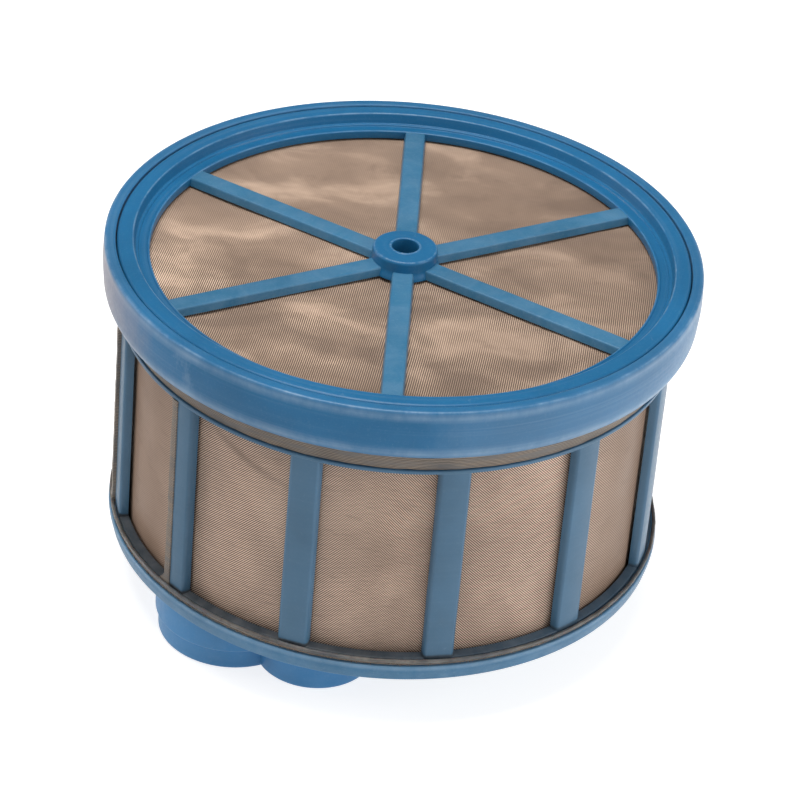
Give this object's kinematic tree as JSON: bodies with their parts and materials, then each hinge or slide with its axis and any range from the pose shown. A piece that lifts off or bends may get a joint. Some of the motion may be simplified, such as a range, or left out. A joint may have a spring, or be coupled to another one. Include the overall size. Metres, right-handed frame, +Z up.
{
  "type": "mesh strainer cartridge",
  "caption": "Low round strainer cartridge: metal mesh in a ribbed plastic cage, a spoked mesh end that lifts out of a collar, and a twin outlet stub under its pan.",
  "frame": {"origin": "on the cartridge's axis, level with the open ends of the outlet stub", "axes": "+Z up the axis from the outlet stub to the spoked end; -Y is the front, where one spoke points"},
  "size_m": [0.1, 0.1, 0.0649],
  "materials": {
    "blue_plastic": "satin moulded polypropylene, slightly translucent, pale rubbed edges and fine turning lines",
    "cage_plastic": "the same blue plastic, greyer and duller, softly grained",
    "steel_mesh": "fine plain-weave stainless wire cloth, stained tan",
    "mesh_hem": "mesh edge soaked in plastic and darkened",
    "clear_bead": "grey translucent sealing bead",
    "seal_rubber": "dull black seal rubber"
  },
  "bodies": {
    "cartridge": {"collar_ring": "blue_plastic", "end_gasket": "seal_rubber", "side_cage": "cage_plastic", "side_mesh": "steel_mesh", "upper_mesh_hem": "mesh_hem", "lower_bead": "clear_bead", "lower_mesh_fringe": "mesh_hem", "base_gasket": "seal_rubber", "base_pan": "blue_plastic", "twin_stub": "blue_plastic", "large_neck_seal": "seal_rubber", "small_neck_seal": "seal_rubber", "large_lock_ring": "blue_plastic", "small_lock_ring": "blue_plastic", "centre_post": "blue_plastic"},
    "spoked_end": {"end_frame": "blue_plastic", "end_mesh": "steel_mesh", "mesh_clamp_ring": "blue_plastic"}
  },
  "joints": [
    {"name": "end_lift", "type": "slide", "parent": "cartridge", "child": "spoked_end", "axis": [0, 0, 1], "range_m": [0, 0.022]}
  ]
}
